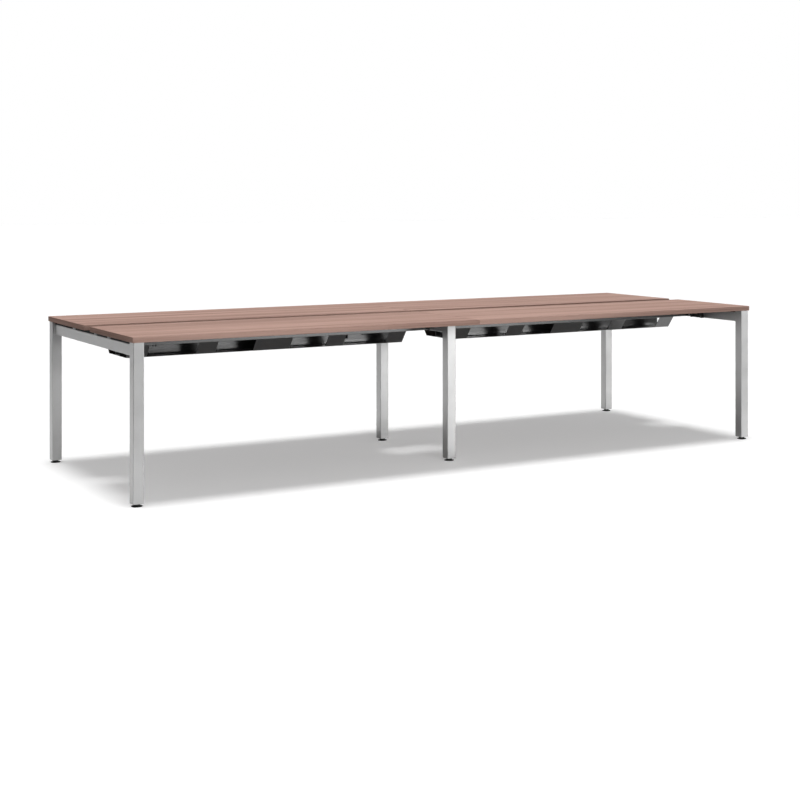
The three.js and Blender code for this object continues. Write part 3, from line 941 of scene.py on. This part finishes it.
ahead = add("ShaderNodeClamp", Value=towards(ROOM_LIT_SIDE)).outputs["Result"]
narrow = worked(add, "POWER", ahead, ROOM_NARROWING)
level = spread(add, narrow, ROOM_EVEN, ROOM_EVEN + ROOM_BRIGHT)
light = add("ShaderNodeBackground", {"Color": WHITE}, Strength=level)
upward = add("ShaderNodeSeparateXYZ", Vector=direction).outputs["Z"]
backdrop = worked(
    add, "MULTIPLY",
    fading(add, towards(ROOM_FRONT), ROOM_DIM_FROM, ROOM_DIM_TO, BACKDROP_LOW, ROOM_DIM),
    fading(add, upward, BACKDROP_TOP_FROM, BACKDROP_TOP_TO, 1.0, BACKDROP_TOP))
flanked = worked(
    add, "MULTIPLY", backdrop,
    fading(add, towards(ROOM_LEFT), BACKDROP_LEFT_FROM, BACKDROP_LEFT_TO, 1.0, BACKDROP_LEFT))
mirrored = add("ShaderNodeBackground", {"Color": WHITE}, Strength=flanked)
white = add("ShaderNodeBackground", {"Color": WHITE, "Strength": 1.0})
backgrounds = [one.outputs["Background"] for one in (light, mirrored, white)]
add("ShaderNodeOutputWorld", Surface=by_ray(add, *backgrounds))

lamp = bpy.data.lights.new("overhead_lamp", "SUN")
lamp.energy = LAMP_LEVEL * math.pi
lamp.angle = math.radians(LAMP_SPREAD)
lamp_object = bpy.data.objects.new("overhead_lamp", lamp)
lamp_object.rotation_euler = Vector(LAMP_LEAN).to_track_quat("-Z", "Y").to_euler()
lamp_object.location = (0, 0, LAMP_HEIGHT)
bpy.context.scene.collection.objects.link(lamp_object)

# The soft box and the low card show in metal and gloss, and the fill lamp lights the matt surfaces
for name, place, aim, size, strength in (
    ("soft_box", BOX_PLACE, BOX_AIM, BOX_SIZE, BOX_LEVEL),
    ("low_card", CARD_PLACE, CARD_AIM, CARD_SIZE, CARD_LEVEL),
    ("fill_lamp", FILL_PLACE, FILL_AIM, FILL_SIZE, FILL_LEVEL),
):
    box = bpy.data.lights.new(name, "AREA")
    box.shape = "RECTANGLE"
    box.size, box.size_y = size
    box.energy = strength * math.pi * size[0] * size[1]
    box_object = bpy.data.objects.new(name, box)
    box_object.location = place
    box_object.rotation_euler = (Vector(aim) - Vector(place)).to_track_quat("-Z", "Y").to_euler()
    box_object.visible_camera = False
    box_object.visible_glossy = name != "fill_lamp"
    box_object.visible_diffuse = name == "fill_lamp"
    bpy.context.scene.collection.objects.link(box_object)


# Camera: level, at standing height before the front left corner of the bench.
# Its lens is shifted down, so that upright edges stay upright in the picture.
IMAGE_SIZE = 800
FOCAL_PIXELS = 1445.97
CENTRE_X, CENTRE_Y = 402.244, 195.697
SENSOR = 36.0
CAMERA_PLACE = (-3.92761, -6.68557, 1.36259)
CAMERA_YAW = 29.9525

camera = bpy.data.cameras.new("camera")
camera.sensor_width = SENSOR
camera.lens = SENSOR * FOCAL_PIXELS / IMAGE_SIZE
camera.shift_x = (IMAGE_SIZE / 2 - CENTRE_X) / IMAGE_SIZE
camera.shift_y = (CENTRE_Y - IMAGE_SIZE / 2) / IMAGE_SIZE
camera_object = bpy.data.objects.new("camera", camera)
camera_object.location = CAMERA_PLACE
camera_object.rotation_euler = (math.radians(90), 0, -math.radians(CAMERA_YAW))
bpy.context.scene.collection.objects.link(camera_object)
bpy.context.scene.camera = camera_object
bpy.context.scene.view_settings.view_transform = "Standard"
